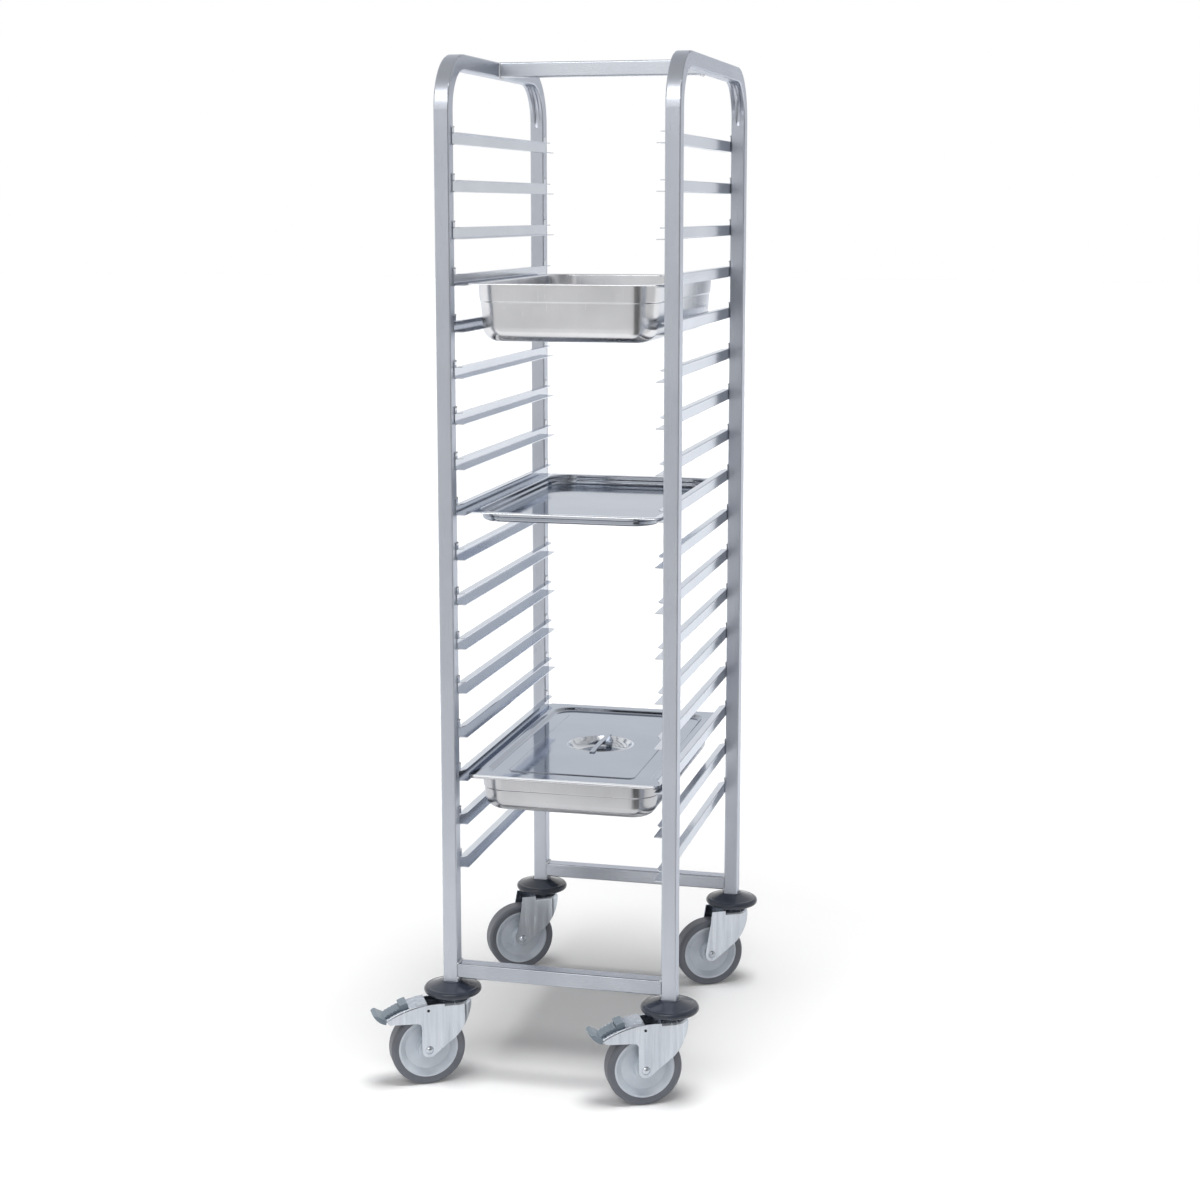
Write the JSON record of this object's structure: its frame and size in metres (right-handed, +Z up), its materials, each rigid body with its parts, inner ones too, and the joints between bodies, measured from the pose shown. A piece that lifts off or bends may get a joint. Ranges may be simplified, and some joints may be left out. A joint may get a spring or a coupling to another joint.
{
  "type": "gastronorm tray trolley",
  "caption": "Tall open rack of bent square steel tube on swivel casters, with channel runners for gastronorm pans, braked front wheels, and pans that slide out of the front.",
  "frame": {"origin": "on the floor under the middle of the frame", "axes": "+Z up, -Y to the front where pans slide in, +X to the right seen from the front"},
  "size_m": [0.5458, 0.695, 1.69],
  "materials": {
    "frame_tube": "satin stainless",
    "runner_sheet": "satin stainless",
    "pan_steel": "bright drawn stainless",
    "zinc_steel": "bright zinc plate",
    "bearing_steel": "polished",
    "bumper_rubber": "smooth black",
    "brake_rubber": "matt",
    "tyre_rubber": "smooth grey, non-marking",
    "wheel_plastic": "light grey moulded",
    "pedal_plastic": "grey-blue moulded",
    "plug_plastic": "moulded"
  },
  "bodies": {
    "frame": {"left_side_frame": "frame_tube", "right_side_frame": "frame_tube", "top_crossbar": "frame_tube", "front_bottom_rail": "frame_tube", "rear_bottom_rail": "frame_tube", "left_runners": "runner_sheet", "right_runners": "runner_sheet", "stem_plugs": "plug_plastic", "front_left_bumper": "bumper_rubber", "front_left_stem": "zinc_steel", "front_left_race_cup": "zinc_steel", "front_right_bumper": "bumper_rubber", "front_right_stem": "zinc_steel", "front_right_race_cup": "zinc_steel", "rear_left_bumper": "bumper_rubber", "rear_left_stem": "zinc_steel", "rear_left_race_cup": "zinc_steel", "rear_right_bumper": "bumper_rubber", "rear_right_stem": "zinc_steel", "rear_right_race_cup": "zinc_steel"},
    "front_left_caster": {"front_left_fork": "zinc_steel", "front_left_swivel_balls": "bearing_steel", "front_left_axle_rivet": "zinc_steel", "front_left_axle_sleeve": "zinc_steel", "front_left_brake_pin": "zinc_steel"},
    "front_left_wheel": {"front_left_wheel_core": "wheel_plastic", "front_left_tyre": "tyre_rubber"},
    "front_left_brake": {"front_left_brake_lever": "zinc_steel", "front_left_brake_shoe": "brake_rubber", "front_left_brake_pedal": "pedal_plastic"},
    "front_right_caster": {"front_right_fork": "zinc_steel", "front_right_swivel_balls": "bearing_steel", "front_right_axle_rivet": "zinc_steel", "front_right_axle_sleeve": "zinc_steel", "front_right_brake_pin": "zinc_steel"},
    "front_right_wheel": {"front_right_wheel_core": "wheel_plastic", "front_right_tyre": "tyre_rubber"},
    "front_right_brake": {"front_right_brake_lever": "zinc_steel", "front_right_brake_shoe": "brake_rubber", "front_right_brake_pedal": "pedal_plastic"},
    "rear_left_caster": {"rear_left_fork": "zinc_steel", "rear_left_swivel_balls": "bearing_steel", "rear_left_axle_rivet": "zinc_steel", "rear_left_axle_sleeve": "zinc_steel"},
    "rear_left_wheel": {"rear_left_wheel_core": "wheel_plastic", "rear_left_tyre": "tyre_rubber"},
    "rear_right_caster": {"rear_right_fork": "zinc_steel", "rear_right_swivel_balls": "bearing_steel", "rear_right_axle_rivet": "zinc_steel", "rear_right_axle_sleeve": "zinc_steel"},
    "rear_right_wheel": {"rear_right_wheel_core": "wheel_plastic", "rear_right_tyre": "tyre_rubber"},
    "deep_pan": {"deep_pan": "pan_steel"},
    "shallow_tray": {"shallow_tray": "pan_steel"},
    "covered_pan": {"covered_pan": "pan_steel"},
    "pan_lid": {"pan_lid": "pan_steel", "lid_grip": "pan_steel"}
  },
  "joints": [
    {"name": "front_left_swivel", "type": "hinge", "parent": "frame", "child": "front_left_caster", "pos_m": [-0.1855, -0.2825, 0.15], "axis": [0, 0, 1], "continuous": true},
    {"name": "front_left_roll", "type": "hinge", "parent": "front_left_caster", "child": "front_left_wheel", "pos_m": [-0.22486, -0.30432, 0.0625], "axis": [0.4848, -0.8746, 0], "continuous": true},
    {"name": "front_left_brake_lift", "type": "hinge", "parent": "front_left_caster", "child": "front_left_brake", "pos_m": [-0.22573, -0.3048, 0.131], "axis": [-0.4848, 0.8746, 0], "range_deg": [0, 12]},
    {"name": "front_right_swivel", "type": "hinge", "parent": "frame", "child": "front_right_caster", "pos_m": [0.1855, -0.2825, 0.15], "axis": [0, 0, 1], "continuous": true},
    {"name": "front_right_roll", "type": "hinge", "parent": "front_right_caster", "child": "front_right_wheel", "pos_m": [0.14505, -0.30223, 0.0625], "axis": [0.4384, -0.8988, 0], "continuous": true},
    {"name": "front_right_brake_lift", "type": "hinge", "parent": "front_right_caster", "child": "front_right_brake", "pos_m": [0.14416, -0.30267, 0.131], "axis": [-0.4384, 0.8988, 0], "range_deg": [0, 12]},
    {"name": "rear_left_swivel", "type": "hinge", "parent": "frame", "child": "rear_left_caster", "pos_m": [-0.1855, 0.2825, 0.15], "axis": [0, 0, 1], "continuous": true},
    {"name": "rear_left_roll", "type": "hinge", "parent": "rear_left_caster", "child": "rear_left_wheel", "pos_m": [-0.22407, 0.25932, 0.0625], "axis": [0.515, -0.8572, 0], "continuous": true},
    {"name": "rear_right_swivel", "type": "hinge", "parent": "frame", "child": "rear_right_caster", "pos_m": [0.1855, 0.2825, 0.15], "axis": [0, 0, 1], "continuous": true},
    {"name": "rear_right_roll", "type": "hinge", "parent": "rear_right_caster", "child": "rear_right_wheel", "pos_m": [0.14577, 0.26137, 0.0625], "axis": [0.4695, -0.8829, 0], "continuous": true},
    {"name": "deep_pan_slide", "type": "slide", "parent": "frame", "child": "deep_pan", "axis": [0, -1, 0], "range_m": [0, 0.56]},
    {"name": "shallow_tray_slide", "type": "slide", "parent": "frame", "child": "shallow_tray", "axis": [0, -1, 0], "range_m": [0, 0.56]},
    {"name": "covered_pan_slide", "type": "slide", "parent": "frame", "child": "covered_pan", "axis": [0, -1, 0], "range_m": [0, 0.56]},
    {"name": "lid_lift", "type": "slide", "parent": "covered_pan", "child": "pan_lid", "axis": [0, 0, 1], "range_m": [0, 0.008]}
  ]
}
